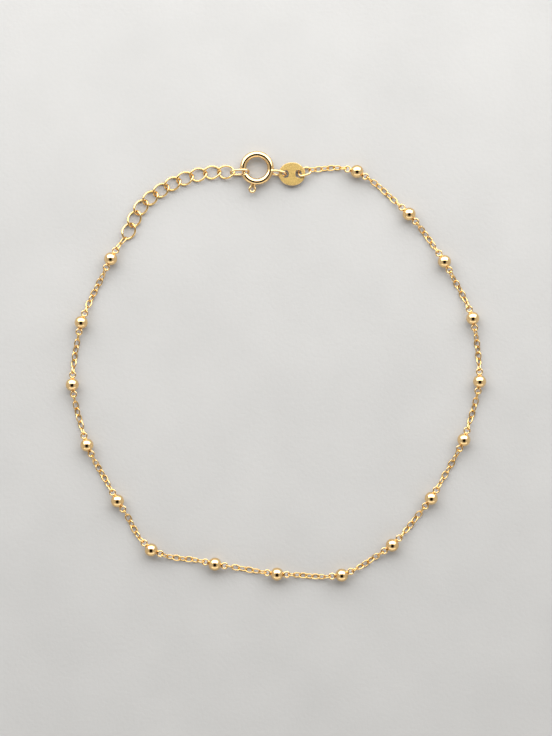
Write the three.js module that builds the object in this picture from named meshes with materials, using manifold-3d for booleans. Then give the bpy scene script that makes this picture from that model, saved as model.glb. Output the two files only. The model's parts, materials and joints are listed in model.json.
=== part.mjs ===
// Ball-station anklet of yellow gold, laid out as a loop on a flat surface.
// Millimetres, +Z up, the loop in the XY plane, the clasp at the +Y side.
import * as THREE from 'three';
import { mergeVertices } from 'three/addons/utils/BufferGeometryUtils.js';
import Module from 'manifold-3d';

const wasm = await Module();
wasm.setup();

// Beads: a ball with a round wire eye soldered on each side.
const BEAD = { radius: 1.25, eyeRadius: 0.535, eyeWire: 0.16, eyeReach: 1.86, sides: 12, rows: 8 };

// Fine chain between the beads, as a plain tube of the links' outer size.
const CHAIN = { radius: 0.475, sides: 8, step: 2.3, lowest: 0.5, gap: 0.15 };

// Extension chain: twisted oval links. length and width are half sizes to the wire's middle.
const EXTENSION = { length: 1.575, width: 1.175, wire: 0.2, twist: 35, height: 0.58, lift: 7.7 };

// Steps from each extension link to the next, from the clasp on, against the mean step.
const EXTENSION_STEPS = [1.035, 1.035, 1.02, 0.995, 0.975, 0.975, 0.98, 0.99, 0.995];

// Spring ring clasp: a hollow tube bent to a ring, with a gap that the gate's bolt closes.
// Angles are degrees about the ring's axis, from +X towards +Y.
const CLASP = {
  x: -3.63,
  y: 37.66,
  z: 1.16,
  radius: 2.61,
  tube: 0.62,
  bore: 0.42,
  gapFrom: 187,
  gapTo: 208,
  step: 10,
  slotHeight: 0.52,
  slotFrom: 245,
  slotTo: 299,
};

// Gate: the bolt in the tube, and the trigger that sticks out of the slot: a wire bent to an eyelet between
// two necks, with a web of solder between them.
const GATE = {
  bolt: 0.32,
  tip: 183,
  heel: 272,
  trigger: 258,
  wire: 0.21,
  neckSpread: 0.31,
  eyeletAt: 4.14,
  eyelet: 0.53,
  web: 0.15,
  webTip: 0.05,
  webEnd: 4.0,
};

// Wire loops about the clasp and the tag: middle of the loop, half sizes to the wire's middle, turns in
// degrees.
const LOOPS = {
  connector: {
    x: -6.88, y: 36.84, z: 1.17, length: 1.7, width: 1.02, wire: 0.21, heading: 3, pitch: 0, roll: 69,
  },
  eye: {
    x: 0.56, y: 36.68, z: 0.95, length: 1.33, width: 0.68, wire: 0.21, heading: -10, pitch: -12, roll: 58,
  },
  tagRing: {
    x: 5.45, y: 36.99, z: 0.9, length: 1.16, width: 0.98, wire: 0.2, heading: 18, pitch: 0, roll: -41,
  },
};

// Ball of solder where the eye's upper leg meets the tube.
const SOLDER = { x: -0.72, y: 37.1, z: 1.52, radius: 0.38 };

// Tag: a thin oval plate with a hole at each end.
const TAG = {
  x: 3.06,
  y: 36.54,
  z: 0.87,
  thickness: 0.35,
  length: 5.06,
  width: 4.46,
  holeAt: 1.24,
  holeLength: 1.24,
  holeWidth: 1.44,
};

// Bead centres in plan, clockwise from the tag.
const BEAD_SPOTS = [
  { x: 15.4, y: 37.0 },
  { x: 25.3, y: 28.9 },
  { x: 32.0, y: 19.9 },
  { x: 37.4, y: 9.1 },
  { x: 38.7, y: -2.9 },
  { x: 35.7, y: -14.0 },
  { x: 29.5, y: -25.1 },
  { x: 22.1, y: -34.0 },
  { x: 12.5, y: -39.7 },
  { x: 0.2, y: -39.5 },
  { x: -11.6, y: -37.6 },
  { x: -23.7, y: -34.9 },
  { x: -30.1, y: -25.6 },
  { x: -35.9, y: -15.0 },
  { x: -38.7, y: -3.5 },
  { x: -37.0, y: 8.3 },
  { x: -31.4, y: 20.4 },
];

// Line of the extension chain in plan, from the clasp's connector to the last bead.
const EXTENSION_LINE = [
  { x: -9.48, y: 36.9 },
  { x: -12.2, y: 36.87 },
  { x: -17.4, y: 35.7 },
  { x: -22.1, y: 33.3 },
  { x: -25.7, y: 30.2 },
  { x: -28.0, y: 25.7 },
];

const UP = new THREE.Vector3(0, 0, 1);
const metal = (name, color, roughness) => {
  return new THREE.MeshStandardMaterial({ name, color, metalness: 1, roughness });
};
const GOLD = metal('gold', 0xd9a441, 0.15);
const SATIN = metal('satin', 0xdcb060, 0.4);
const rad = THREE.MathUtils.degToRad;

// Round wire along a path from t = 0 to t = 1: rings of points square to it, joined end to end or capped.
function wireAlong(path, count, radius, sides, closed) {
  const rings = closed ? count : count + 1;
  const points = [];
  for (let i = 0; i < rings; i++) {
    const t = i / count;
    const middle = path(t);
    const tangent = path(t + 1e-4).sub(path(t - 1e-4)).normalize();
    const side = tangent.clone().cross(UP).normalize();
    const lift = side.clone().cross(tangent);
    for (let k = 0; k < sides; k++) {
      const turn = (2 * Math.PI * k) / sides;
      const point = middle.clone();
      point.addScaledVector(side, radius * Math.cos(turn));
      point.addScaledVector(lift, radius * Math.sin(turn));
      points.push(point);
    }
  }
  const faces = [];
  for (let i = 0; i < count; i++) {
    const here = i * sides;
    const next = ((i + 1) % rings) * sides;
    for (let k = 0; k < sides; k++) {
      const l = (k + 1) % sides;
      faces.push(here + k, next + k, next + l, here + k, next + l, here + l);
    }
  }
  if (!closed) {
    const start = points.push(path(0)) - 1;
    const end = points.push(path(1)) - 1;
    const last = count * sides;
    for (let k = 0; k < sides; k++) {
      const l = (k + 1) % sides;
      faces.push(start, k, l, end, last + l, last + k);
    }
  }
  const geometry = new THREE.BufferGeometry().setFromPoints(points);
  geometry.setIndex(faces);
  return geometry;
}

// Arc about the Z axis, between two angles in degrees.
function arc(radius, from, to) {
  return (t) => {
    const angle = rad(from + (to - from) * t);
    return new THREE.Vector3(radius * Math.cos(angle), radius * Math.sin(angle), 0);
  };
}

// Oval in the XY plane, rounder at power 2 and squarer above it, twisted along X by up to twist degrees
// each way.
function oval(length, width, power, twist) {
  const bent = (value) => Math.sign(value) * Math.abs(value) ** (2 / power);
  return (t) => {
    const angle = 2 * Math.PI * t;
    const x = length * bent(Math.cos(angle));
    const y = width * bent(Math.sin(angle));
    const roll = (-rad(twist) * x) / length;
    return new THREE.Vector3(x, y * Math.cos(roll), y * Math.sin(roll));
  };
}

function toSolid(geometry) {
  const bare = new THREE.BufferGeometry();
  bare.setAttribute('position', geometry.getAttribute('position'));
  bare.setIndex(geometry.getIndex());
  const merged = mergeVertices(bare, 1e-4);
  const vertProperties = new Float32Array(merged.getAttribute('position').array);
  const triVerts = new Uint32Array(merged.getIndex().array);
  return new wasm.Manifold(new wasm.Mesh({ numProp: 3, vertProperties, triVerts }));
}

function toGeometry(solid) {
  const mesh = solid.getMesh();
  const geometry = new THREE.BufferGeometry();
  geometry.setAttribute('position', new THREE.BufferAttribute(new Float32Array(mesh.vertProperties), 3));
  geometry.setIndex(Array.from(mesh.triVerts));
  return geometry;
}

const join = (...pieces) => pieces.map(toSolid).reduce((whole, piece) => whole.add(piece));

// Turns a piece about its own X (roll), Y (pitch, +X end up) and Z (heading), then moves it to its place.
function placed(geometry, { x, y, z, heading = 0, pitch = 0, roll = 0 }) {
  const turn = new THREE.Euler(rad(roll), -rad(pitch), rad(heading), 'ZYX');
  const matrix = new THREE.Matrix4().makeRotationFromEuler(turn).setPosition(x, y, z);
  return geometry.applyMatrix4(matrix);
}

function loopPiece(loop) {
  return placed(wireAlong(oval(loop.length, loop.width, 2.8, 0), 16, loop.wire, 6, true), loop);
}

const anklet = new THREE.Group();
anklet.name = 'anklet';

function addNode(name, geometry, material) {
  const flat = geometry.index ? geometry.toNonIndexed() : geometry;
  flat.computeVertexNormals();
  const node = new THREE.Mesh(flat, material);
  node.name = name;
  anklet.add(node);
}

const numbered = (name, index) => `${name}_${String(index + 1).padStart(2, '0')}`;

// Extension links stand step by step along their line, each turned along it.
const atHeight = (spot, z) => new THREE.Vector3(spot.x, spot.y, z);
const extensionLine = new THREE.CatmullRomCurve3(EXTENSION_LINE.map((spot) => atHeight(spot, 0)));
const extensionLinks = [];
const allSteps = EXTENSION_STEPS.reduce((sum, step) => sum + step, 0);
let along = 0;
for (let i = 0; i <= EXTENSION_STEPS.length; i++) {
  const spot = extensionLine.getPointAt(along);
  const ahead = extensionLine.getTangentAt(along).negate();
  const pitch = i === 0 ? EXTENSION.lift : 0;
  extensionLinks.push({
    x: spot.x,
    y: spot.y,
    z: EXTENSION.height + EXTENSION.length * Math.sin(rad(pitch)),
    heading: THREE.MathUtils.radToDeg(Math.atan2(ahead.y, ahead.x)),
    pitch,
  });
  along = Math.min(1, along + (EXTENSION_STEPS[i] ?? 0) / allSteps);
}

// Where the fine chain starts and ends: the outer ends of the tag ring and of the last extension link.
function outerEnd(loop, reach) {
  const angle = rad(loop.heading);
  return new THREE.Vector3(loop.x + reach * Math.cos(angle), loop.y + reach * Math.sin(angle), loop.z);
}
const chainStart = outerEnd(LOOPS.tagRing, LOOPS.tagRing.length + LOOPS.tagRing.wire);
const chainEnd = outerEnd(extensionLinks.at(-1), -EXTENSION.length - EXTENSION.wire);

// Each bead's two eyes lie halfway between the loop's run at the bead and the straight line to the neighbour.
const stops = [chainStart, ...BEAD_SPOTS.map((spot) => atHeight(spot, BEAD.radius)), chainEnd];
const flatWay = (from, to) => to.clone().sub(from).setZ(0).normalize();
const arriving = [];
const leaving = [];
BEAD_SPOTS.forEach((_, i) => {
  const run = flatWay(stops[i], stops[i + 2]);
  arriving.push(flatWay(stops[i], stops[i + 1]).add(run).normalize());
  leaving.push(flatWay(stops[i + 1], stops[i + 2]).add(run).normalize());
});

function beadEye(way) {
  const turn = Math.atan2(way.y, way.x);
  const eye = wireAlong(arc(BEAD.eyeRadius, 0, 360), 10, BEAD.eyeWire, 5, true);
  return eye.translate(BEAD.eyeReach, 0, 0).rotateZ(turn);
}
BEAD_SPOTS.forEach((spot, i) => {
  const heading = Math.atan2(leaving[i].y, leaving[i].x);
  const ball = new THREE.SphereGeometry(BEAD.radius, BEAD.sides, BEAD.rows).rotateX(Math.PI / 2);
  ball.rotateZ(heading);
  const bead = join(ball, beadEye(leaving[i]), beadEye(arriving[i].clone().negate()));
  addNode(numbered('bead', i), toGeometry(bead).translate(spot.x, spot.y, BEAD.radius), GOLD);
});

// A stretch of chain leaves one eye along its bead's line, sinks to the surface and rises to the next eye.
const clear = BEAD.eyeReach + BEAD.eyeRadius + BEAD.eyeWire + CHAIN.gap;
const octagon = new THREE.Shape();
for (let k = 0; k < CHAIN.sides; k++) {
  const turn = (2 * Math.PI * k) / CHAIN.sides;
  const corner = [CHAIN.radius * Math.cos(turn), CHAIN.radius * Math.sin(turn)];
  if (k === 0) octagon.moveTo(...corner);
  else octagon.lineTo(...corner);
}
octagon.closePath();
for (let i = 0; i <= BEAD_SPOTS.length; i++) {
  const from = stops[i].clone();
  const to = stops[i + 1].clone();
  const straight = flatWay(from, to);
  const leave = i === 0 ? straight : leaving[i - 1];
  const arrive = i === BEAD_SPOTS.length ? straight : arriving[i];
  from.addScaledVector(leave, i === 0 ? CHAIN.gap : clear);
  to.addScaledVector(arrive, i === BEAD_SPOTS.length ? -CHAIN.gap : -clear);
  const reach = from.distanceTo(to);
  const plan = new THREE.CubicBezierCurve3(
    from,
    from.clone().addScaledVector(leave, reach / 3),
    to.clone().addScaledVector(arrive, -reach / 3),
    to,
  );
  const steps = Math.max(2, Math.round(reach / CHAIN.step));
  const points = [];
  for (let s = 0; s <= steps; s++) {
    const t = s / steps;
    const point = plan.getPoint(t);
    const sag = Math.min(1, reach / 6) * (1 - Math.abs(2 * t - 1) ** 3);
    point.z += (CHAIN.lowest - point.z) * sag;
    points.push(point);
  }
  const line = new THREE.CatmullRomCurve3(points);
  const tube = new THREE.ExtrudeGeometry(octagon, { steps, extrudePath: line, bevelEnabled: false });
  addNode(numbered('chain', i), tube, GOLD);
}

extensionLinks.forEach((link, i) => {
  const path = oval(EXTENSION.length, EXTENSION.width, 2, EXTENSION.twist);
  addNode(numbered('extension_link', i), placed(wireAlong(path, 16, EXTENSION.wire, 6, true), link), GOLD);
});
addNode('clasp_connector', loopPiece(LOOPS.connector), GOLD);

// The spring ring's tube runs the long way round from one side of the gap to the other.
const turnOf = CLASP.gapFrom + 360 - CLASP.gapTo;
const tubeSteps = Math.round(turnOf / CLASP.step);
const tubeArc = arc(CLASP.radius, CLASP.gapTo, CLASP.gapTo + turnOf);
const tube = wireAlong(tubeArc, tubeSteps, CLASP.tube, 12, false);
const boreArc = arc(CLASP.radius, CLASP.gapTo - CLASP.step, CLASP.gapTo + turnOf + CLASP.step);
const bore = wireAlong(boreArc, tubeSteps + 2, CLASP.bore, 10, false);
const slotShape = new THREE.Shape();
slotShape.absarc(0, 0, CLASP.radius + CLASP.tube + 0.3, rad(CLASP.slotFrom), rad(CLASP.slotTo), false);
slotShape.absarc(0, 0, CLASP.radius, rad(CLASP.slotTo), rad(CLASP.slotFrom), true);
const slot = new THREE.ExtrudeGeometry(slotShape, {
  depth: CLASP.slotHeight,
  bevelEnabled: false,
  curveSegments: 6,
}).translate(0, 0, -CLASP.slotHeight / 2);
[tube, bore, slot].forEach((piece) => piece.translate(CLASP.x, CLASP.y, CLASP.z));
const solder = new THREE.SphereGeometry(SOLDER.radius, 10, 6).rotateX(Math.PI / 2);
solder.translate(SOLDER.x, SOLDER.y, SOLDER.z);
const ring = join(tube, loopPiece(LOOPS.eye), solder).subtract(toSolid(bore)).subtract(toSolid(slot));
addNode('clasp_ring', toGeometry(ring), GOLD);

// The gate's bolt lies in the tube's bore; the trigger's necks come out of it through the slot.
const boltSteps = Math.round((GATE.heel - GATE.tip) / CLASP.step);
const bolt = wireAlong(arc(CLASP.radius, GATE.tip, GATE.heel), boltSteps, GATE.bolt, 8, false);
const mouth = Math.asin(GATE.neckSpread / GATE.eyelet);
const neckLength = GATE.eyeletAt - GATE.eyelet * Math.cos(mouth) - CLASP.radius;
const neck = (across) => {
  const path = (t) => new THREE.Vector3(CLASP.radius + neckLength * t, across, 0);
  return wireAlong(path, 1, GATE.wire, 8, false);
};
const eyeletTurn = 180 - THREE.MathUtils.radToDeg(mouth);
const eyelet = wireAlong(arc(GATE.eyelet, -eyeletTurn, eyeletTurn), 12, GATE.wire, 8, false);
eyelet.translate(GATE.eyeletAt, 0, 0);
const webLength = GATE.webEnd - CLASP.radius;
const web = new THREE.CylinderGeometry(GATE.webTip, GATE.web, webLength, 8).rotateZ(-Math.PI / 2);
web.translate(CLASP.radius + webLength / 2, 0, 0);
const trigger = [neck(GATE.neckSpread), neck(-GATE.neckSpread), eyelet, web];
trigger.forEach((piece) => piece.rotateZ(rad(GATE.trigger)));
const gate = toGeometry(join(bolt, ...trigger));
addNode('clasp_gate', gate.translate(CLASP.x, CLASP.y, CLASP.z), GOLD);

// The tag's outline is an oval; each hole is a squarer oval.
function outline(length, width, power, count, middle) {
  const path = oval(length / 2, width / 2, power, 0);
  const points = [];
  for (let k = 0; k < count; k++) {
    const point = path(k / count);
    points.push(new THREE.Vector2(point.x + middle, point.y));
  }
  return points;
}
const plate = new THREE.Shape(outline(TAG.length, TAG.width, 2, 32, 0));
for (const side of [-1, 1]) {
  const hole = outline(TAG.holeLength, TAG.holeWidth, 2.5, 14, side * TAG.holeAt);
  plate.holes.push(new THREE.Path(hole.reverse()));
}
const tag = new THREE.ExtrudeGeometry(plate, { depth: TAG.thickness, bevelEnabled: false });
addNode('tag', tag.translate(TAG.x, TAG.y, TAG.z - TAG.thickness / 2), SATIN);
addNode('tag_ring', loopPiece(LOOPS.tagRing), GOLD);

// The frame's origin is under the middle of the whole loop, on the surface that it lies on.
const box = new THREE.Box3().setFromObject(anklet);
const middle = box.getCenter(new THREE.Vector3());
for (const node of anklet.children) node.geometry.translate(-middle.x, -middle.y, -box.min.z);

export default anklet;
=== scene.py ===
import json
import bmesh
import bpy
import numpy as np
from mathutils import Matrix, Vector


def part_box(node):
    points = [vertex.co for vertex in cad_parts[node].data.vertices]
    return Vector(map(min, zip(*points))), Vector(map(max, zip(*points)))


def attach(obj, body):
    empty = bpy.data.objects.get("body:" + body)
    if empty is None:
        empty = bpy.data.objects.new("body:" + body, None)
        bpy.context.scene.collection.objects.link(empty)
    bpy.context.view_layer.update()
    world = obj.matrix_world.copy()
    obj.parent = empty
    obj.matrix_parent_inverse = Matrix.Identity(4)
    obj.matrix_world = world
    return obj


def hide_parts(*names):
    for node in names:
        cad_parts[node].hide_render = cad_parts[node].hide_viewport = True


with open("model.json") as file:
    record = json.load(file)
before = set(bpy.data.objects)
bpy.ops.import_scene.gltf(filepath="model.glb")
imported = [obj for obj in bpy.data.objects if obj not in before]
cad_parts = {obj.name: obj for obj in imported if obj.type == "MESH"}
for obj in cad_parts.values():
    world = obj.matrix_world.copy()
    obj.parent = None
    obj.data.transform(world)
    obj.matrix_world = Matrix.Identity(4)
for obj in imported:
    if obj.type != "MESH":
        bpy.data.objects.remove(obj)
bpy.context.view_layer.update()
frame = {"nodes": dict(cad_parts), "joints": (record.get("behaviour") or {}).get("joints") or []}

bl_info = {
    "name": "Ball station anklet",
    "version": (1, 0, 0),
    "blender": (4, 5, 0),
    "location": "3D View > Sidebar > Anklet",
    "description": "Dresses a gold ball station anklet: beads, fine chain, extension, spring ring and tag",
    "category": "Add Mesh",
}

MM = 0.001
UP = np.array((0.0, 0.0, 1.0))

# Points along and round each kind of surface.
BALL_ROWS, BALL_SIDES = 33, 48
EYE_STEPS, EYE_SIDES = 40, 12
FINE_STEPS, FINE_SIDES = 24, 8
LOOP_STEPS, LOOP_SIDES = 72, 14
OVAL_POINTS = 256
TUBE_SIDES = 32
BOLT_STEPS, BOLT_SIDES = 40, 20
WEB_STEPS, WEB_SIDES = 12, 12
LONG_ARM_STEPS, SHORT_ARM_STEPS, SLOT_STEPS = 72, 16, 60
LIP_STEPS = 9
SOLDER_ROWS, SOLDER_SIDES = 17, 24
EYELET_STEPS, EASE_STEPS = 73, 11
ROUTE_STEPS = 200
INNER_RAYS, OUTER_RAYS = 25, 49
ROUND_STEPS = 6

# Points nearer than this, in metres, are one.
NEAR = 1e-8

# Play of the fine links, in degrees, drawn from one seed, and the span over which a stretch sinks fully.
PLAY_SEED = 7
ROLL_PLAY, HEADING_PLAY = 3.0, 4.0
SINK_SPAN = 6.0 * MM

# Powers of the ovals: 2 is an ellipse, and more has straighter sides.
FINE_POWER = 2.3
LOOP_POWER = 2.8
HOLE_POWER = 2.5

# Waves to the metre of each finish's noise.
PATCH_WAVES, HAIRLINE_WAVES = 700.0, 1800.0
GRAIN_WAVES, BRUSH_WAVES = 5500.0, 2500.0
MOTTLE_WAVES, TOOTH_WAVES = 60.0, 1400.0

# Roughness of the finishes, from and to, and of the tag's edges.
POLISH_ROUGHNESS = 0.04, 0.11
WIRE_ROUGHNESS = 0.05, 0.14
SATIN_ROUGHNESS = 0.4, 0.58
EDGE_ROUGHNESS = 0.14
FLOOR_ROUGHNESS = 0.6, 0.8

# Relief of the finishes, in metres.
POLISH_RELIEF = 0.3e-6
WIRE_RELIEF = 0.6e-6
SATIN_RELIEF = 18e-6
FLOOR_RELIEF = 40e-6

# Soft lights, each its size and its place.
KEY_SIZE, KEY_PLACE = (1.0, 0.434), (0.0, 0.288, 0.229)
CARD_SIZE, CARD_PLACE = (0.9, 0.24), (0.0, -0.415, 0.159)

# The room's light: the dark patch's tilt from overhead and its soft edge, the glow's soft edge, the tones.
PATCH_TILT = np.radians(12.0)
PATCH_EDGE = 0.4, 0.56
SIDE_EDGE = 0.25, 0.75
ROOM, SIDE_GLOW, DARK = (1.0, 0.97, 0.93, 1.0), (1.6, 1.55, 1.49, 1.0), (0.02, 0.02, 0.02, 1.0)

# Where the floor's painted light starts and ends, paler outwards where the lights fall off, and its half
# side, in metres.
FLOOR_FADE = 0.2, 0.9
FLOOR_REACH = 1.5

# The camera's lens and sensor in millimetres, the height it sees and the point below it, in metres.
LENS, SENSOR = 100.0, 36.0
VIEW_HEIGHT = 0.13984
VIEW_MIDDLE = (0.00002, -0.00032, 0.0012)


def length(name, value, description):
    """A length property in metres, given in millimetres."""
    return bpy.props.FloatProperty(
        name=name, description=description, default=value * MM, min=0.0, precision=6, unit="LENGTH"
    )


def turn(name, degrees, description):
    """An angle property, given in degrees."""
    return bpy.props.FloatProperty(
        name=name, description=description, default=np.radians(degrees), subtype="ANGLE"
    )


def colour(name, rgb, description):
    """A linear colour property."""
    return bpy.props.FloatVectorProperty(
        name=name, description=description, default=(*rgb, 1.0), size=4, min=0.0, max=1.0, subtype="COLOR"
    )


def amount(name, value, description):
    """A plain number property."""
    return bpy.props.FloatProperty(name=name, description=description, default=value, min=0.0)


class AnkletBeadSizes(bpy.types.PropertyGroup):
    """Sizes of the ball beads and their wire eyes."""

    radius: length("Ball radius", 1.25, "Radius of each hollow ball")
    eye_radius: length("Eye radius", 0.535, "Radius of the eye to the middle of its wire")
    eye_wire: length("Eye wire", 0.16, "Radius of the eye's wire")
    eye_reach: length("Eye reach", 1.86, "From the ball's centre to the eye's centre")
    solder: length("Solder", 0.045, "How much the eye's wire swells where it is soldered to the ball")


class AnkletChainSizes(bpy.types.PropertyGroup):
    """Sizes of the fine cable chain between the beads."""

    width: length("Link width", 0.5, "Half width of a link to the middle of its wire")
    wire: length("Link wire", 0.13, "Radius of the link's wire")
    pitch: length("Pitch", 1.22, "Usual distance from one link to the next")
    slack: length("Slack", 0.03, "Play from one link to the next, and where the chain hangs in an eye")
    sink: length("Sunk height", 0.42, "Height of the chain's middle where it lies on the floor")
    lean: turn("Lean", 33.0, "How far the links lean, by turns, to either side of their stretch's own lean")
    stretch_lean: turn("Stretch lean", 23.0, "Most that a whole stretch leans to one side")
    end_lean: turn("End lean", 16.5, "Lean of the first stretch in the tag's ring; the last leans against it")


class AnkletExtensionSizes(bpy.types.PropertyGroup):
    """Sizes of the twisted links of the extension chain."""

    length: length("Link length", 1.575, "Half length of a link to the middle of its wire")
    width: length("Link width", 1.175, "Half width of a link to the middle of its wire")
    wire: length("Link wire", 0.2, "Radius of the link's wire")
    twist: turn("Twist", 35.0, "Turn of each end of a link against its middle")


class AnkletClaspSizes(bpy.types.PropertyGroup):
    """Sizes of the spring ring clasp, its gate and the loops beside it."""

    radius: length("Ring radius", 2.61, "Radius of the ring to the middle of its tube")
    tube: length("Tube radius", 0.62, "Outer radius of the tube")
    bore: length("Bore radius", 0.42, "Inner radius of the tube")
    gap_from: turn("Gap start", 187.0, "Where the gap starts, about the ring's axis from +X")
    gap_to: turn("Gap end", 208.0, "Where the gap ends")
    slot_from: turn("Slot start", 245.0, "Where the trigger's slot starts")
    slot_to: turn("Slot end", 299.0, "Where the trigger's slot ends")
    slot_height: length("Slot height", 0.52, "Height of the trigger's slot")
    bolt: length("Bolt radius", 0.32, "Radius of the gate's bolt")
    bolt_tip: turn("Bolt tip", 183.0, "Where the closed gate's bolt ends")
    bolt_heel: turn("Bolt heel", 272.0, "Where the bolt starts, inside the tube")
    trigger: turn("Trigger", 258.0, "Where the trigger stands on the closed ring")
    trigger_wire: length("Trigger wire", 0.21, "Radius of the trigger's wire")
    neck_spread: length("Neck spread", 0.31, "From the trigger's middle line to each neck wire")
    eyelet_at: length("Eyelet place", 4.14, "From the ring's axis to the eyelet's middle")
    eyelet: length("Eyelet radius", 0.53, "Radius of the eyelet to the middle of its wire")
    web: length("Web", 0.15, "Radius of the solder web between the necks, at the ring")
    web_tip: length("Web tip", 0.05, "Radius of the web at its outer end")
    web_end: length("Web end", 4.0, "From the ring's axis to the web's outer end")
    eye_place: bpy.props.FloatVectorProperty(
        name="Eye place",
        description="Middle of the ring's wire eye, from the ring's centre",
        default=(4.19 * MM, -0.98 * MM, -0.21 * MM),
        subtype="XYZ",
        unit="LENGTH",
        precision=6,
    )
    eye_length: length("Eye length", 1.33, "Half length of the wire eye to the middle of its wire")
    eye_width: length("Eye width", 0.68, "Half width of the wire eye")
    eye_wire: length("Eye wire", 0.21, "Radius of the wire eye's wire")
    eye_heading: turn("Eye heading", -10.0, "Turn of the wire eye about Z")
    eye_pitch: turn("Eye pitch", -12.0, "Tilt of the wire eye along its length")
    eye_roll: turn("Eye roll", 58.0, "Turn of the wire eye about its length")
    solder_place: bpy.props.FloatVectorProperty(
        name="Solder place",
        description="Middle of the solder ball, from the ring's centre",
        default=(2.91 * MM, -0.56 * MM, 0.36 * MM),
        subtype="XYZ",
        unit="LENGTH",
        precision=6,
    )
    solder: length("Solder radius", 0.38, "Radius of the solder ball")
    connector_wire: length("Connector wire", 0.21, "Radius of the wire of the loop to the extension")
    tag_ring_wire: length("Tag ring wire", 0.2, "Radius of the wire of the loop from tag to chain")


class AnkletTagSizes(bpy.types.PropertyGroup):
    """Sizes of the oval tag."""

    length: length("Length", 5.06, "Length of the oval plate")
    width: length("Width", 4.46, "Width of the oval plate")
    hole_at: length("Hole place", 1.24, "From the tag's middle to each hole's middle")
    hole_length: length("Hole length", 1.24, "Size of a hole along the tag")
    hole_width: length("Hole width", 1.44, "Size of a hole across the tag")
    edge: length("Edge rounding", 0.07, "Radius of the rounded edges")


class AnkletFinish(bpy.types.PropertyGroup):
    """Colours of the gold and of the stage."""

    gold: colour("Gold", (0.87, 0.625, 0.32), "Polished gold of the beads and the clasp")
    gold_warm: colour("Warm gold", (0.81, 0.55, 0.25), "Patches where the polish is warmer")
    wire: colour("Wire gold", (0.82, 0.575, 0.265), "Drawn wire of the chains")
    wire_warm: colour("Warm wire", (0.73, 0.47, 0.165), "Warmer patches of the wire")
    # Painted shade and painted warm reflection: a darker, oranger gold where wires touch each other.
    contact_shade: colour("Contact gold", (0.68, 0.41, 0.12), "Gold where links and solder touch")
    tag_face: colour("Satin gold", (0.64, 0.457, 0.166), "Satin face of the tag")
    tag_grain: colour("Satin grain", (0.39, 0.264, 0.085), "Grain of the tag's face")
    floor: colour("Floor", (0.43, 0.427, 0.418), "Pale floor")
    # Painted light: the floor's colour away from the lights, paler to make up for their falloff.
    floor_far_painted_light: colour("Far floor", (0.9, 0.893, 0.877), "Floor away from the lights")
    key: amount("Key light", 5.5, "Power of the large soft light, in watts")
    card: amount("Card light", 0.6, "Power of the soft card in front, in watts")
    fill: amount("Fill light", 0.42, "Strength of the light all round")


def node_points(name):
    """Corner points of a solid at rest, as an array of rows x, y, z."""
    vertices = frame["nodes"][name].data.vertices
    points = np.empty(3 * len(vertices))
    vertices.foreach_get("co", points)
    return points.reshape(-1, 3)


def loop_frame(name):
    """Middle of a wire loop's solid and its axes by rows: along, across and square to the loop.

    The axes are the principal directions of its points, which lie evenly about the middle.
    """
    points = node_points(name)
    middle = points.mean(axis=0)
    axes = np.linalg.svd(points - middle, full_matrices=False)[2]
    axes[2] = np.cross(axes[0], axes[1])
    return middle, axes


def unit(vectors):
    """Each row scaled to length one."""
    return vectors / np.linalg.norm(vectors, axis=-1, keepdims=True)


def turned(heading, pitch, roll):
    """Axes by rows of a loop rolled about X, pitched with its +X end up, then headed about Z."""
    along = np.array((np.cos(heading) * np.cos(pitch), np.sin(heading) * np.cos(pitch), np.sin(pitch)))
    side = np.array((-np.sin(heading), np.cos(heading), 0.0))
    lift = np.cross(along, side)
    across = np.cos(roll) * side + np.sin(roll) * lift
    return np.stack((along, across, np.cross(along, across)))


def oval(count, half_length, half_width, power=2.0, twist=0.0):
    """Closed oval of count points: x = a sgn(cos t)|cos t|^(2/p), y likewise with b and sin t.

    The oval is then turned about X by -twist x / a, so that its ends lean opposite ways.
    """
    t = np.linspace(0.0, 2.0 * np.pi, count, endpoint=False)
    x = half_length * np.sign(np.cos(t)) * np.abs(np.cos(t)) ** (2.0 / power)
    y = half_width * np.sign(np.sin(t)) * np.abs(np.sin(t)) ** (2.0 / power)
    roll = -twist * x / half_length
    return np.stack((x, y * np.cos(roll), y * np.sin(roll)), axis=-1)


def circle(count, radius):
    """Closed circle in the XY plane."""
    return oval(count, radius, radius)


def evenly(path, count):
    """The closed path resampled to count points at even steps of its length."""
    closed = np.vstack((path, path[:1]))
    run = np.concatenate(((0.0,), np.cumsum(np.linalg.norm(np.diff(closed, axis=0), axis=1))))
    at = np.linspace(0.0, run[-1], count, endpoint=False)
    return np.stack([np.interp(at, run, closed[:, k]) for k in range(3)], axis=-1)


def wire_round(path, radius, sides):
    """Round wire along a closed path: p(u) + r(u) (cos v side + sin v lift), a grid closed both ways.

    The side is square to the path and to Z, so the path stays away from vertical.
    """
    tangent = unit(np.roll(path, -1, axis=0) - np.roll(path, 1, axis=0))
    side = unit(np.cross(tangent, UP))
    lift = np.cross(side, tangent)
    v = np.linspace(0.0, 2.0 * np.pi, sides, endpoint=False)[None, :, None]
    spread = np.cos(v) * side[:, None] + np.sin(v) * lift[:, None]
    return path[:, None] + np.reshape(radius, (-1, 1, 1)) * spread


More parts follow.
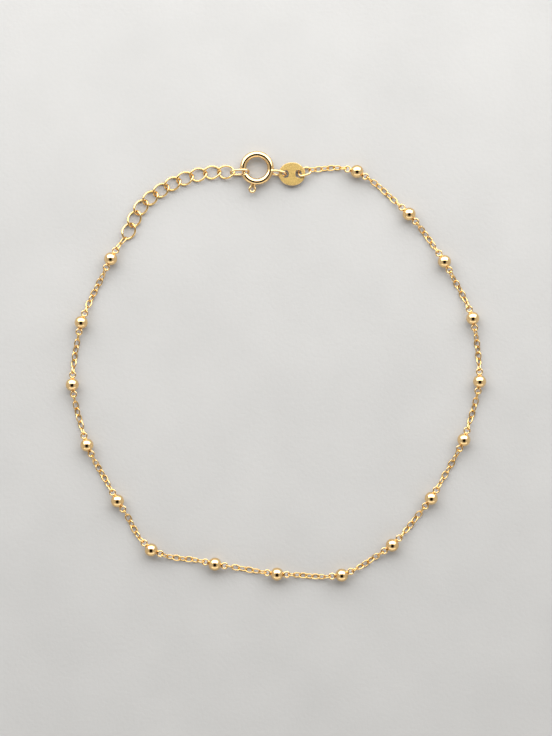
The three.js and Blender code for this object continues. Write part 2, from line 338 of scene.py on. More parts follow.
def rod(path, radius, sides, rounding=8):
    """Round rod along an open path, p(u) + r(u) (cos v side + sin v lift), with half-ball ends."""
    radius = np.broadcast_to(radius, len(path))
    tangent = unit(np.gradient(path, axis=0))
    swing = np.linspace(0.0, 0.5 * np.pi, rounding)
    start = path[:1] - radius[0] * np.cos(swing)[:, None] * tangent[:1]
    end = path[-1:] + radius[-1] * np.sin(swing)[:, None] * tangent[-1:]
    spine = np.vstack((start[:-1], path, end[1:]))
    first, last = (np.repeat(end_way, rounding - 1, axis=0) for end_way in (tangent[:1], tangent[-1:]))
    frames = np.vstack((first, tangent, last))
    widths = np.concatenate((radius[0] * np.sin(swing)[:-1], radius, radius[-1] * np.cos(swing)[1:]))
    side = unit(np.cross(frames, UP))
    lift = np.cross(side, frames)
    v = np.linspace(0.0, 2.0 * np.pi, sides, endpoint=False)[None, :, None]
    spread = np.cos(v) * side[:, None] + np.sin(v) * lift[:, None]
    return spine[:, None] + widths[:, None, None] * spread


def ball(radius, rows, sides):
    """Sphere: r (sin u cos v, sin u sin v, -cos u), with u from pole to pole."""
    u = np.linspace(0.0, np.pi, rows)[:, None]
    v = np.linspace(0.0, 2.0 * np.pi, sides, endpoint=False)[None, :]
    return radius * np.stack((np.sin(u) * np.cos(v), np.sin(u) * np.sin(v), -np.cos(u) + 0.0 * v), axis=-1)


def grid_faces(rows, columns, rows_closed, columns_closed):
    """Quads of a grid of points numbered row by row."""
    i = np.arange(rows if rows_closed else rows - 1)[:, None]
    j = np.arange(columns if columns_closed else columns - 1)[None, :]
    below, above = i * columns, ((i + 1) % rows) * columns
    right = (j + 1) % columns
    return np.stack((below + j, below + right, above + right, above + j), axis=-1).reshape(-1, 4)


class Shape:
    """Gathers the grids of one piece, each with one mark per point (painted shade where wires touch on links,
    a polished edge on the tag), and makes its mesh.
    """

    def __init__(self):
        self.points, self.faces, self.marks, self.count = [], [], [], 0

    def add(self, grid, rows_closed, columns_closed, mark=0.0, keep=None):
        """Adds a grid of points; keep picks which of its faces stay."""
        rows, columns = grid.shape[:2]
        faces = grid_faces(rows, columns, rows_closed, columns_closed)
        if keep is not None:
            faces = faces[keep(grid.reshape(-1, 3), faces)]
        self.points.append(grid.reshape(-1, 3))
        self.faces.append(faces + self.count)
        self.marks.append(np.broadcast_to(mark, (rows, columns)).reshape(-1))
        self.count += rows * columns

    def finish(self, name, material, body, nodes):
        """Makes the object, merges seams and poles, turns its faces out and puts it in the frame."""
        mesh = bpy.data.meshes.new(name)
        mesh.from_pydata(np.vstack(self.points), [], np.vstack(self.faces).tolist())
        mark = mesh.attributes.new("mark", "FLOAT", "POINT")
        mark.data.foreach_set("value", np.concatenate(self.marks).astype(np.float32))
        work = bmesh.new()
        work.from_mesh(mesh)
        bmesh.ops.remove_doubles(work, verts=work.verts, dist=NEAR)
        bmesh.ops.recalc_face_normals(work, faces=work.faces)
        work.to_mesh(mesh)
        work.free()
        mesh.shade_smooth()
        mesh.materials.append(material)
        piece = bpy.data.objects.new(name, mesh)
        bpy.context.scene.collection.objects.link(piece)
        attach(piece, body)
        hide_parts(*nodes)


def set_out(grid, middle, axes):
    """A grid in a loop's own axes carried to its place."""
    return grid @ axes + middle


def plan_way(start, end):
    """Level direction from one point to another."""
    way = end - start
    way[2] = 0.0
    return unit(way)


def numbered(name, count):
    """Names with two-digit numbers from 01."""
    return [f"{name}_{i + 1:02d}" for i in range(count)]


def count_nodes(name):
    """How many solids have that name and a number."""
    return sum(node.startswith(name + "_") for node in frame["nodes"])


BEAD_NODES = numbered("bead", count_nodes("bead"))
CHAIN_NODES = numbered("chain", count_nodes("chain"))
LINK_NODES = numbered("extension_link", count_nodes("extension_link"))


def bead_places(sizes):
    """Centres of the balls: each one's top point, less the radius."""
    tops = [points[points[:, 2].argmax()] for points in map(node_points, BEAD_NODES)]
    return np.array(tops) - sizes.radius * UP


def chain_ends():
    """Where the fine chain hangs at its two ends: in the wires of the tag's ring and the last extension link.

    Each is the point of the loop's middle line that is furthest along it.
    """
    scene = bpy.context.scene
    beads = bead_places(scene.anklet_beads)
    ring, ring_axes = loop_frame("tag_ring")
    ring_along = ring_axes[0] * np.sign(ring_axes[0] @ (beads[0] - ring))
    ring_reach = ((node_points("tag_ring") - ring) @ ring_along).max() - scene.anklet_clasp.tag_ring_wire
    link, link_axes = loop_frame(LINK_NODES[-1])
    link_along = link_axes[0] * np.sign(link_axes[0] @ (beads[-1] - link))
    return ring + ring_reach * ring_along, link + scene.anklet_extension.length * link_along


def bead_ways(beads, ends):
    """Directions of each bead's two eyes, arriving and leaving along the loop.

    An eye points halfway between the loop's run at the bead and the straight line to the neighbour.
    """
    stops = np.vstack((ends[0], beads, ends[1]))
    stops[:, 2] = 0.0
    run = unit(stops[2:] - stops[:-2])
    step = unit(np.diff(stops, axis=0))
    return unit(step[:-1] + run), unit(step[1:] + run)


def shader_node(tree, kind, **values):
    """A shader node with some of its values set."""
    node = tree.nodes.new(kind)
    for name, value in values.items():
        if name in node.inputs:
            node.inputs[name].default_value = value
        else:
            setattr(node, name, value)
    return node


def new_material(name):
    """A material with an empty tree, its Principled shader and its Object coordinates."""
    material = bpy.data.materials.new(name)
    material.use_nodes = True
    tree = material.node_tree
    tree.nodes.clear()
    output = tree.nodes.new("ShaderNodeOutputMaterial")
    shader = tree.nodes.new("ShaderNodeBsdfPrincipled")
    place = tree.nodes.new("ShaderNodeTexCoord")
    tree.links.new(shader.outputs["BSDF"], output.inputs["Surface"])
    return material, tree, shader, place.outputs["Object"]


def noise(tree, coordinates, scale, detail=3.0, stretch=None):
    """Noise of that many waves to the metre, finer along the axes that stretch makes larger."""
    texture = shader_node(tree, "ShaderNodeTexNoise", Scale=scale, Detail=detail)
    if stretch is not None:
        mapping = shader_node(tree, "ShaderNodeMapping", Scale=stretch)
        tree.links.new(coordinates, mapping.inputs["Vector"])
        coordinates = mapping.outputs["Vector"]
    tree.links.new(coordinates, texture.inputs["Vector"])
    return texture.outputs["Fac"]


def ranged(tree, value, low, high, start=0.3, end=0.7):
    """A value carried from one range to another and held at its ends."""
    ends = {"From Min": start, "From Max": end, "To Min": low, "To Max": high}
    node = shader_node(tree, "ShaderNodeMapRange", **ends)
    tree.links.new(value, node.inputs["Value"])
    return node.outputs["Result"]


def blended(tree, factor, first, second):
    """Two colours mixed; each is a colour or a socket."""
    node = tree.nodes.new("ShaderNodeMix")
    node.data_type = "RGBA"
    tree.links.new(factor, node.inputs["Factor"])
    for socket, value in ((node.inputs[6], first), (node.inputs[7], second)):
        if isinstance(value, bpy.types.NodeSocket):
            tree.links.new(value, socket)
        else:
            socket.default_value = value
    return node.outputs[2]


def marked(tree):
    """The piece's own mark: painted shade where links touch, polished edge on the tag."""
    return shader_node(tree, "ShaderNodeAttribute", attribute_name="mark").outputs["Fac"]


def bumped(tree, shader, height, depth):
    """Relief of that depth in metres."""
    bump = shader_node(tree, "ShaderNodeBump", Strength=1.0, Distance=depth)
    tree.links.new(height, bump.inputs["Height"])
    tree.links.new(bump.outputs["Normal"], shader.inputs["Normal"])


def polished_gold(name, tones, roughness, hairline_depth):
    """Buffed gold of three tones: plain, warm patches, and painted shade where marked wires touch, with
    hairlines of the buff.
    """
    material, tree, shader, place = new_material(name)
    shader.inputs["Metallic"].default_value = 1.0
    patches = ranged(tree, noise(tree, place, PATCH_WAVES), 0.0, 1.0)
    tone = blended(tree, patches, tones[0], tones[1])
    tree.links.new(blended(tree, marked(tree), tone, tones[2]), shader.inputs["Base Color"])
    hairlines = noise(tree, place, HAIRLINE_WAVES, 5.0, (1.0, 9.0, 4.0))
    tree.links.new(ranged(tree, hairlines, *roughness), shader.inputs["Roughness"])
    bumped(tree, shader, hairlines, hairline_depth)
    return material


def satin_gold(colours):
    """Satin gold of the tag: fine grain over the face, smooth and brighter along the marked edges."""
    material, tree, shader, place = new_material("satin_gold")
    shader.inputs["Metallic"].default_value = 1.0
    grain = noise(tree, place, GRAIN_WAVES, 6.0)
    brushed = noise(tree, place, BRUSH_WAVES, 4.0, (1.0, 6.0, 1.0))
    face = blended(tree, ranged(tree, grain, 0.0, 1.0), colours.tag_grain, colours.tag_face)
    tree.links.new(blended(tree, marked(tree), face, colours.gold), shader.inputs["Base Color"])
    smooth = shader_node(tree, "ShaderNodeMix")
    tree.links.new(marked(tree), smooth.inputs["Factor"])
    tree.links.new(ranged(tree, brushed, *SATIN_ROUGHNESS), smooth.inputs["A"])
    smooth.inputs["B"].default_value = EDGE_ROUGHNESS
    tree.links.new(smooth.outputs["Result"], shader.inputs["Roughness"])
    relief = shader_node(tree, "ShaderNodeMix")
    tree.links.new(marked(tree), relief.inputs["Factor"])
    tree.links.new(grain, relief.inputs["A"])
    relief.inputs["B"].default_value = 0.5
    bumped(tree, shader, relief.outputs["Result"], SATIN_RELIEF)
    return material


def pale_floor(colours):
    """Pale matt board with a faint mottle and fine tooth, and painted light: paler outwards, where the lights
    fall off.
    """
    material, tree, shader, place = new_material("pale_floor")
    mottle = ranged(tree, noise(tree, place, MOTTLE_WAVES), 0.0, 1.0)
    shade = [0.94 * value for value in colours.floor[:3]] + [1.0]
    board = blended(tree, mottle, colours.floor, shade)
    out = shader_node(tree, "ShaderNodeVectorMath", operation="LENGTH")
    tree.links.new(place, out.inputs[0])
    # Painted light: the board turns paler with distance from the middle, where the lamps' light falls off.
    far_painted_light = ranged(tree, out.outputs["Value"], 0.0, 1.0, *FLOOR_FADE)
    tree.links.new(blended(tree, far_painted_light, board, colours.floor_far_painted_light), shader.inputs["Base Color"])
    tooth = noise(tree, place, TOOTH_WAVES, 5.0)
    tree.links.new(ranged(tree, tooth, *FLOOR_ROUGHNESS), shader.inputs["Roughness"])
    bumped(tree, shader, tooth, FLOOR_RELIEF)
    return material


def bright_gold():
    """The polished gold of beads and clasp, made once."""
    name = "polished_gold"
    colours = bpy.context.scene.anklet_finish
    tones = colours.gold, colours.gold_warm, colours.contact_shade
    return bpy.data.materials.get(name) or polished_gold(name, tones, POLISH_ROUGHNESS, POLISH_RELIEF)


def wire_gold():
    """The drawn gold wire of the chains, made once."""
    name = "drawn_gold_wire"
    colours = bpy.context.scene.anklet_finish
    tones = colours.wire, colours.wire_warm, colours.contact_shade
    return bpy.data.materials.get(name) or polished_gold(name, tones, WIRE_ROUGHNESS, WIRE_RELIEF)


class ANKLET_OT_beads(bpy.types.Operator):
    """Makes the ball beads with their soldered wire eyes."""

    bl_idname = "anklet.beads"
    bl_label = "Ball beads"

    def execute(self, context):
        sizes = context.scene.anklet_beads
        beads = bead_places(sizes)
        arriving, leaving = bead_ways(beads, chain_ends())
        sphere = ball(sizes.radius, BALL_ROWS, BALL_SIDES)
        ring = circle(EYE_STEPS, sizes.eye_radius) + (sizes.eye_reach, 0.0, 0.0)
        t = np.linspace(0.0, 2.0 * np.pi, EYE_STEPS, endpoint=False)
        # The wire swells towards the ball, on the eye's near side.
        swell = sizes.eye_wire + sizes.solder * np.clip(-np.cos(t), 0.0, 1.0) ** 6
        # Painted shade on the eye's far side, where the chain's link touches it.
        contact_shade = np.clip(np.cos(t), 0.0, 1.0)[:, None] ** 4
        eye = wire_round(ring, swell, EYE_SIDES)
        for node, centre, back, ahead in zip(BEAD_NODES, beads, -arriving, leaving):
            shape = Shape()
            shape.add(sphere + centre, False, True)
            for way in (back, ahead):
                axes = turned(np.arctan2(way[1], way[0]), 0.0, 0.0)
                shape.add(set_out(eye, centre, axes), True, True, contact_shade)
            shape.finish("ball_" + node, bright_gold(), "anklet", [node])
        return {"FINISHED"}


class ANKLET_OT_fine_chain(bpy.types.Operator):
    """Makes the fine cable chain, link through link, from the tag to the extension."""

    bl_idname = "anklet.fine_chain"
    bl_label = "Fine chain"

    def route(self, start, end, leave, arrive, sizes):
        """Middle line of a stretch: a cubic from hook to hook that sinks to the floor between them."""
        t = np.linspace(0.0, 1.0, ROUTE_STEPS)[:, None]
        reach = np.linalg.norm(end - start)
        knots = start, start + leave * reach / 3.0, end - arrive * reach / 3.0, end
        weights = (1 - t) ** 3, 3 * t * (1 - t) ** 2, 3 * t**2 * (1 - t), t**3
        line = sum(weight * knot for weight, knot in zip(weights, knots))
        sag = min(1.0, reach / SINK_SPAN) * (1.0 - np.abs(2.0 * t[:, 0] - 1.0) ** 3)
        line[:, 2] += (sizes.sink - line[:, 2]) * sag
        return line

    def taut_links(self, run, eye_wire, sizes):
        """A link long enough to draw a stretch taut, its painted shade at the ends where links touch, and the
        links' places along the run.

        With n links of pitch p, the outer two reach round the eyes' wires: n p = run + 2 eye_wire + slack.
        """
        count = max(2, round((run + 2.0 * eye_wire) / sizes.pitch))
        pitch = (run + 2.0 * eye_wire + sizes.slack) / count
        half_length = 0.5 * (pitch + sizes.slack) + sizes.wire
        path = evenly(oval(10 * FINE_STEPS, half_length, sizes.width, FINE_POWER), FINE_STEPS)
        # Painted shade at the link's ends, where it touches its neighbours.
        contact_shade = (np.abs(path[:, 0]) / half_length)[:, None] ** 6
        inset = 0.5 * (pitch - sizes.slack) - eye_wire
        return wire_round(path, sizes.wire, FINE_SIDES), contact_shade, np.linspace(inset, run - inset, count)

    def execute(self, context):
        sizes = context.scene.anklet_chain
        bead = context.scene.anklet_beads
        beads = bead_places(bead)
        ends = chain_ends()
        arriving, leaving = bead_ways(beads, ends)
        hook = bead.eye_reach + bead.eye_radius
        starts = np.vstack((ends[0], beads + hook * leaving))
        stops = np.vstack((beads - hook * arriving, ends[1]))
        first, last = plan_way(starts[0], stops[0]), plan_way(starts[-1], stops[-1])
        leave, arrive = np.vstack((first, leaving)), np.vstack((arriving, last))
        chance = np.random.default_rng(PLAY_SEED)
        stretch_lean = chance.uniform(-sizes.stretch_lean, sizes.stretch_lean, len(CHAIN_NODES))
        stretch_lean[[0, -1]] = sizes.end_lean, -sizes.end_lean
        for index, node in enumerate(CHAIN_NODES):
            line = self.route(starts[index], stops[index], leave[index], arrive[index], sizes)
            run = np.concatenate(((0.0,), np.cumsum(np.linalg.norm(np.diff(line, axis=0), axis=1))))
            link, contact_shade, at = self.taut_links(run[-1], bead.eye_wire, sizes)
            count = len(at)
            slope = np.gradient(line, run, axis=0)
            places = np.stack([np.interp(at, run, line[:, k]) for k in range(3)], axis=-1)
            ways = unit(np.stack([np.interp(at, run, slope[:, k]) for k in range(3)], axis=-1))
            roll = stretch_lean[index] + sizes.lean * (-1.0) ** np.arange(count)
            roll += np.radians(chance.uniform(-ROLL_PLAY, ROLL_PLAY, count))
            # A link in a flat eye stands up, turned away from the lean of the link that it holds.
            if index > 0:
                roll[0] = 0.5 * (np.pi + roll[1])
            if index < len(BEAD_NODES):
                roll[-1] = 0.5 * (np.pi + roll[-2])
            places[:, 2] = np.maximum(places[:, 2], sizes.width * np.abs(np.sin(roll)) + sizes.wire)
            heading = np.arctan2(ways[:, 1], ways[:, 0])
            heading += np.radians(chance.uniform(-HEADING_PLAY, HEADING_PLAY, count))
            pitch = np.arcsin(ways[:, 2])
            shape = Shape()
            for k in range(count):
                axes = turned(heading[k], pitch[k], roll[k])
                shape.add(set_out(link, places[k], axes), True, True, contact_shade)
            shape.finish("fine_" + node, wire_gold(), "anklet", [node])
        return {"FINISHED"}


class ANKLET_OT_extension(bpy.types.Operator):
    """Makes the twisted oval links of the extension chain."""

    bl_idname = "anklet.extension"
    bl_label = "Extension links"

    def execute(self, context):
        sizes = context.scene.anklet_extension
        path = evenly(oval(OVAL_POINTS, sizes.length, sizes.width, 2.0, sizes.twist), LOOP_STEPS)
        link = wire_round(path, sizes.wire, LOOP_SIDES)
        # Painted shade at the link's ends, where it touches the next link, kept faint.
        contact_shade = 0.45 * (np.abs(path[:, 0]) / sizes.length)[:, None] ** 10
        for node in LINK_NODES:
            shape = Shape()
            shape.add(set_out(link, *loop_frame(node)), True, True, contact_shade)
            shape.finish("twisted_" + node, wire_gold(), "anklet", [node])
        return {"FINISHED"}


def wire_loop(half_length, half_width, wire):
    """A long wire loop with round ends and straighter sides, in its own axes."""
    path = evenly(oval(OVAL_POINTS, half_length, half_width, LOOP_POWER), LOOP_STEPS)
    return wire_round(path, wire, LOOP_SIDES)


def fitted_loop(node, wire):
    """A wire loop of the size and place of its solid."""
    middle, axes = loop_frame(node)
    half = np.abs((node_points(node) - middle) @ axes.T).max(axis=0) - wire
    return set_out(wire_loop(half[0], half[1], wire), middle, axes)


class ANKLET_OT_loops(bpy.types.Operator):
    """Makes the loop from clasp to extension and the loop from tag to chain."""

    bl_idname = "anklet.loops"
    bl_label = "Wire loops"

    def execute(self, context):
        sizes = context.scene.anklet_clasp
        for node, wire in (("clasp_connector", sizes.connector_wire), ("tag_ring", sizes.tag_ring_wire)):
            shape = Shape()
            shape.add(fitted_loop(node, wire), True, True)
            shape.finish(node + "_wire", bright_gold(), "anklet", [node])
        return {"FINISHED"}


def ring_centre():
    """Centre of the spring ring: the axis that its gate turns about."""
    return np.array(frame["joints"][0]["pos_m"])


class ANKLET_OT_clasp_ring(bpy.types.Operator):
    """Makes the spring ring's tube with its gap and slot, its wire eye and the solder."""

    bl_idname = "anklet.clasp_ring"
    bl_label = "Clasp ring"

    def section(self, angle, width, opening, sides, sizes):
        """Rings of the tube at angles about the ring's axis, each of its own radius.

        The points run round the tube from the outer side, leaving out an opening of half angle s there:
        (R + r cos f) out + r sin f up, with f from s to 2 pi - s.
        """
        f = opening[:, None] + (2.0 * np.pi - 2.0 * opening[:, None]) * np.linspace(0.0, 1.0, sides + 1)
        reach = sizes.radius + width[:, None] * np.cos(f)
        x, y = reach * np.cos(angle)[:, None], reach * np.sin(angle)[:, None]
        return np.stack((x, y, width[:, None] * np.sin(f)), axis=-1)

    def arm(self, start, end, steps, sides, sizes):
        """A side of the tube, slot to gap: out along the skin, round the lip and back in the bore."""
        wall = sizes.tube - sizes.bore
        lip = 0.5 * wall
        inward = np.sign(start - end) * lip / sizes.radius
        out = np.linspace(start, end + inward, steps)
        swing = np.linspace(0.5 * np.pi, -0.5 * np.pi, LIP_STEPS)[1:-1]
        angle = np.concatenate((out, end + inward - inward * np.cos(swing), out[::-1]))
        width = np.concatenate((
            np.full(steps, sizes.tube), sizes.bore + lip + lip * np.sin(swing), np.full(steps, sizes.bore)
        ))
        return self.section(angle, width, 0.0 * angle, sides, sizes)

    def slotted(self, steps, sides, sizes):
        """The stretch with the slot: the skin, then back along the bore, closed across the slot's sides.

        The slot's half angle is asin(h / 2r), narrowed to a round end as sqrt(1 - |2t - 1|^12).
        """
        t = np.linspace(0.0, 1.0, steps)
        angle = sizes.slot_from + (sizes.slot_to - sizes.slot_from) * t
        round_end = np.sqrt(np.clip(1.0 - np.abs(2.0 * t - 1.0) ** 12, 0.0, 1.0))
        rims = []
        for radius in (sizes.tube, sizes.bore):
            half = np.arcsin(0.5 * sizes.slot_height / radius) * round_end
            rims.append(self.section(angle, np.full(steps, radius), half, sides, sizes))
        return np.concatenate((rims[0], rims[1][:, ::-1]), axis=1)

    def execute(self, context):
        sizes = context.scene.anklet_clasp
        centre = ring_centre()
        shape = Shape()
        long_arm = self.arm(sizes.slot_to, sizes.gap_from + 2.0 * np.pi, LONG_ARM_STEPS, TUBE_SIDES, sizes)
        short_arm = self.arm(sizes.slot_from, sizes.gap_to, SHORT_ARM_STEPS, TUBE_SIDES, sizes)
        shape.add(long_arm + centre, False, False)
        shape.add(short_arm + centre, False, False)
        shape.add(self.slotted(SLOT_STEPS, TUBE_SIDES, sizes) + centre, False, True)
        axes = turned(sizes.eye_heading, sizes.eye_pitch, sizes.eye_roll)
        eye = wire_loop(sizes.eye_length, sizes.eye_width, sizes.eye_wire)
        shape.add(set_out(eye, centre + np.array(sizes.eye_place), axes), True, True)
        solder = ball(sizes.solder, SOLDER_ROWS, SOLDER_SIDES) + centre
        shape.add(solder + np.array(sizes.solder_place), False, True)
        shape.finish("spring_ring", bright_gold(), "anklet", ["clasp_ring"])
        return {"FINISHED"}


class ANKLET_OT_clasp_gate(bpy.types.Operator):
    """Makes the gate: the curved bolt in the tube, the trigger's bent wire and its web."""

    bl_idname = "anklet.clasp_gate"
    bl_label = "Clasp gate"

    def bent_wire(self, sizes):
        """Middle line of the trigger's wire: out along one neck, round the eyelet and back on the other.

        The eyelet's arc starts where its circle meets the necks' lines; a running mean eases the bends.
        """
        mouth = np.arcsin(sizes.neck_spread / sizes.eyelet)
        angle = np.linspace(mouth - np.pi, np.pi - mouth, EYELET_STEPS)
        arc = sizes.eyelet * np.stack((np.cos(angle), np.sin(angle)), axis=-1) + (sizes.eyelet_at, 0.0)
        step = np.linalg.norm(arc[1] - arc[0])
        out = np.arange(sizes.radius, arc[0, 0] - 0.5 * step, step)
        neck = np.stack((out, np.full(len(out), -sizes.neck_spread)), axis=-1)
        line = np.vstack((neck, arc, neck[::-1] * (1.0, -1.0)))
        weight = np.hanning(EASE_STEPS) / np.hanning(EASE_STEPS).sum()
        eased = np.stack([np.convolve(line[:, k], weight, "valid") for k in range(2)], axis=-1)
        return np.column_stack((eased, np.zeros(len(eased))))

    def execute(self, context):
        sizes = context.scene.anklet_clasp
        centre = ring_centre()
        shape = Shape()
        inset = sizes.bolt / sizes.radius
        a = np.linspace(sizes.bolt_tip + inset, sizes.bolt_heel - inset, BOLT_STEPS)
        bolt = sizes.radius * np.stack((np.cos(a), np.sin(a), 0.0 * a), axis=-1)
        shape.add(rod(bolt, sizes.bolt, BOLT_SIDES) + centre, False, True)
        axes = turned(sizes.trigger, 0.0, 0.0)
        trigger = rod(self.bent_wire(sizes), sizes.trigger_wire, LOOP_SIDES)
        shape.add(set_out(trigger, centre, axes), False, True)
        out = np.linspace(sizes.radius, sizes.web_end - sizes.web_tip, WEB_STEPS)
        taper = np.linspace(sizes.web, sizes.web_tip, WEB_STEPS)
        web = rod(np.outer(out, (1.0, 0.0, 0.0)), taper, WEB_SIDES)
        shape.add(set_out(web, centre, axes), False, True)
        shape.finish("trigger_gate", bright_gold(), "gate", ["clasp_gate"])
        return {"FINISHED"}


class ANKLET_OT_tag(bpy.types.Operator):
    """Makes the oval tag with its two holes."""

    bl_idname = "anklet.tag"
    bl_label = "Tag"

    def half(self, side, sizes, thickness):
        """One half of the plate as rays from its hole to the rim and to the tag's middle line.

        Each ray's section runs from the hole's wall over the top face, round the rim and back underneath,
        with quarter rounds at all four edges: the hole's oval grows and the rim's oval shrinks by the same
        rounding, so both halves meet on the middle line.
        """
        a, b = 0.5 * sizes.length, 0.5 * sizes.width
        corner = np.arctan2(b, sizes.hole_at)
        inner = corner * np.sin(np.linspace(-0.5 * np.pi, 0.5 * np.pi, INNER_RAYS))
        outer = np.linspace(corner, 2.0 * np.pi - corner, OUTER_RAYS)[1:-1]
        # Rays in the order of their angle, measured towards the middle line.
        ray = np.concatenate((inner, outer))
        way = np.stack((np.cos(ray), np.sin(ray)), axis=-1)
        hole_half = 0.5 * np.array((sizes.hole_length, sizes.hole_width))
        hole = (np.abs(way / hole_half) ** HOLE_POWER).sum(axis=1)
        hole_edge = way * hole[:, None] ** (-1.0 / HOLE_POWER)
        # Reach of a ray from (-hole_at, 0) to the oval, or to the middle line where that is nearer.
        scaled = way / (a, b)
        start = np.array((-sizes.hole_at / a, 0.0))
        p, q, r = (scaled**2).sum(axis=1), scaled @ start, start @ start - 1.0
        to_rim = (-q + np.sqrt(q * q - p * r)) / p
        reach = np.concatenate((sizes.hole_at / np.cos(inner), to_rim[len(inner):]))
        rim = way * reach[:, None] + (-sizes.hole_at, 0.0)
        swing = np.linspace(0.0, 0.5 * np.pi, ROUND_STEPS)
        rounding = sizes.edge * (1.0 - np.sin(swing))
        drop = 0.5 * thickness - sizes.edge * (1.0 - np.cos(swing))
        # From the hole's wall up to the top face: the hole's oval grown by what the rounding has left.
        growth = 1.0 + (sizes.edge - rounding[::-1]) / hole_half[1]
        mouth = hole_edge[:, None] * growth[None, :, None] + (-sizes.hole_at, 0.0)
        brim = rim[:, None] * (1.0 - (sizes.edge - rounding) / b)[None, ::-1, None]
        share = np.array((0.04, 0.2, 0.4, 0.6, 0.8, 0.96))
        face = mouth[:, -1:] + (brim[:, :1] - mouth[:, -1:]) * share[None, :, None]
        top = np.concatenate((mouth, face, brim), axis=1)
        rise = np.concatenate((drop[::-1], np.full(len(share), 0.5 * thickness), drop))
        rise = np.broadcast_to(rise, top.shape[:2]).copy()
        polish = np.repeat((1.0, 0.0, 1.0), (ROUND_STEPS, len(share), ROUND_STEPS))
        polish = np.broadcast_to(polish, top.shape[:2]).copy()
        # There is no edge on the middle line.
        rise[1:len(inner) - 1, -ROUND_STEPS:] = 0.5 * thickness
        polish[1:len(inner) - 1, -ROUND_STEPS:] = 0.0
        section = np.concatenate((top, top[:, ::-1]), axis=1)
        grid = np.dstack((section, np.concatenate((rise, -rise[:, ::-1]), axis=1)))
        grid[..., 0] *= side
        return grid, np.concatenate((polish, polish[:, ::-1]), axis=1)

    def execute(self, context):
        sizes = context.scene.anklet_tag
        low, high = (np.array(corner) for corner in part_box("tag"))

        def off_middle(points, faces):
            """Leaves out the faces that would lie inside, on the middle line."""
            return np.abs(points[faces, 0]).max(axis=1) > NEAR

        shape = Shape()
        for side in (1.0, -1.0):
            grid, polish = self.half(side, sizes, high[2] - low[2])
            shape.add(grid, True, True, polish, off_middle)
        shape.points = [points + 0.5 * (low + high) for points in shape.points]
        colours = context.scene.anklet_finish
        shape.finish("oval_tag", satin_gold(colours), "anklet", ["tag"])
        return {"FINISHED"}


def soft_light(name, power, size, place):
    """A soft panel of that size that faces the middle of the floor."""
    light = bpy.data.lights.new(name, "AREA")
    light.shape = "RECTANGLE"
    light.size, light.size_y = size
    light.energy = power
    lamp = bpy.data.objects.new(name, light)
    lamp.location = place
    lamp.rotation_euler = (-np.arctan2(place[1], place[2]), 0.0, 0.0)
    bpy.context.scene.collection.objects.link(lamp)


def studio_world(colours):
    """Soft light all round, brighter at the sides, with a dark patch overhead where the camera's body is."""
    world = bpy.data.worlds.new("studio")
    world.use_nodes = True
    tree = world.node_tree
    background = tree.nodes["Background"]
    background.inputs["Strength"].default_value = colours.fill
    place = tree.nodes.new("ShaderNodeTexCoord")
    patch = shader_node(tree, "ShaderNodeVectorMath", operation="DISTANCE")
    patch.inputs[1].default_value = (0.0, -np.sin(PATCH_TILT), np.cos(PATCH_TILT))
    tree.links.new(place.outputs["Generated"], patch.inputs[0])
    light = ranged(tree, patch.outputs["Value"], 0.0, 1.0, *PATCH_EDGE)
    parts = shader_node(tree, "ShaderNodeSeparateXYZ")
    tree.links.new(place.outputs["Generated"], parts.inputs["Vector"])
    side = shader_node(tree, "ShaderNodeMath", operation="ABSOLUTE")
    tree.links.new(parts.outputs["X"], side.inputs[0])
    glow = ranged(tree, side.outputs["Value"], 0.0, 1.0, *SIDE_EDGE)
    room = blended(tree, glow, ROOM, SIDE_GLOW)
    tree.links.new(blended(tree, light, DARK, room), background.inputs["Color"])
    return world


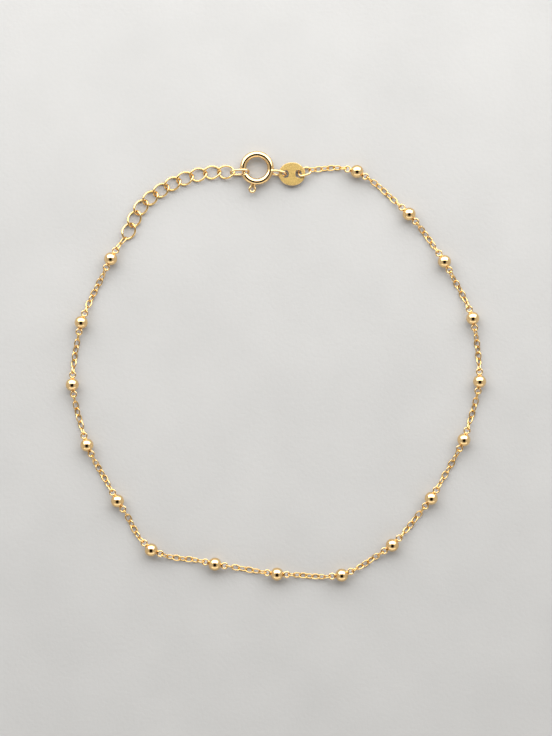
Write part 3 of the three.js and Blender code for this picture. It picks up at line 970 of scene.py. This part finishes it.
class ANKLET_OT_stage(bpy.types.Operator):
    """Makes the pale floor, the soft lights and the camera straight above."""

    bl_idname = "anklet.stage"
    bl_label = "Stage"

    def execute(self, context):
        scene = context.scene
        colours = scene.anklet_finish
        corners = FLOOR_REACH * np.array(((-1, -1, 0), (1, -1, 0), (1, 1, 0), (-1, 1, 0)))
        mesh = bpy.data.meshes.new("floor")
        mesh.from_pydata(corners, [], [(0, 1, 2, 3)])
        mesh.materials.append(pale_floor(colours))
        floor = bpy.data.objects.new("floor", mesh)
        scene.collection.objects.link(floor)

        soft_light("key_softbox", colours.key, KEY_SIZE, KEY_PLACE)
        soft_light("front_card", colours.card, CARD_SIZE, CARD_PLACE)
        scene.world = studio_world(colours)
        scene.view_settings.view_transform = "Standard"

        camera = bpy.data.cameras.new("camera")
        camera.lens, camera.sensor_width = LENS, SENSOR
        camera.clip_start = 0.01
        eye = bpy.data.objects.new("camera", camera)
        eye.location = np.array(VIEW_MIDDLE) + VIEW_HEIGHT * LENS / SENSOR * UP
        scene.collection.objects.link(eye)
        scene.camera = eye
        return {"FINISHED"}


class ANKLET_PT_panel(bpy.types.Panel):
    """Lists the steps that dress the anklet."""

    bl_idname = "ANKLET_PT_panel"
    bl_label = "Anklet"
    bl_space_type = "VIEW_3D"
    bl_region_type = "UI"
    bl_category = "Anklet"

    def draw(self, context):
        for operator in OPERATORS:
            self.layout.operator(operator.bl_idname)


GROUPS = {
    "anklet_beads": AnkletBeadSizes,
    "anklet_chain": AnkletChainSizes,
    "anklet_extension": AnkletExtensionSizes,
    "anklet_clasp": AnkletClaspSizes,
    "anklet_tag": AnkletTagSizes,
    "anklet_finish": AnkletFinish,
}

OPERATORS = (
    ANKLET_OT_beads,
    ANKLET_OT_fine_chain,
    ANKLET_OT_extension,
    ANKLET_OT_loops,
    ANKLET_OT_clasp_ring,
    ANKLET_OT_clasp_gate,
    ANKLET_OT_tag,
    ANKLET_OT_stage,
)


def register():
    """Registers the classes and hangs the groups of sizes on the scene."""
    for group in (*GROUPS.values(), *OPERATORS, ANKLET_PT_panel):
        bpy.utils.register_class(group)
    for name, group in GROUPS.items():
        setattr(bpy.types.Scene, name, bpy.props.PointerProperty(type=group))


def unregister():
    """Takes the groups off the scene and the classes out again."""
    for name in GROUPS:
        delattr(bpy.types.Scene, name)
    for group in (ANKLET_PT_panel, *reversed(OPERATORS), *GROUPS.values()):
        bpy.utils.unregister_class(group)


def main():
    """Registers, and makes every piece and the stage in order."""
    register()
    for operator in OPERATORS:
        family, step = operator.bl_idname.split(".")
        getattr(getattr(bpy.ops, family), step)()


if __name__ == "__main__":
    main()
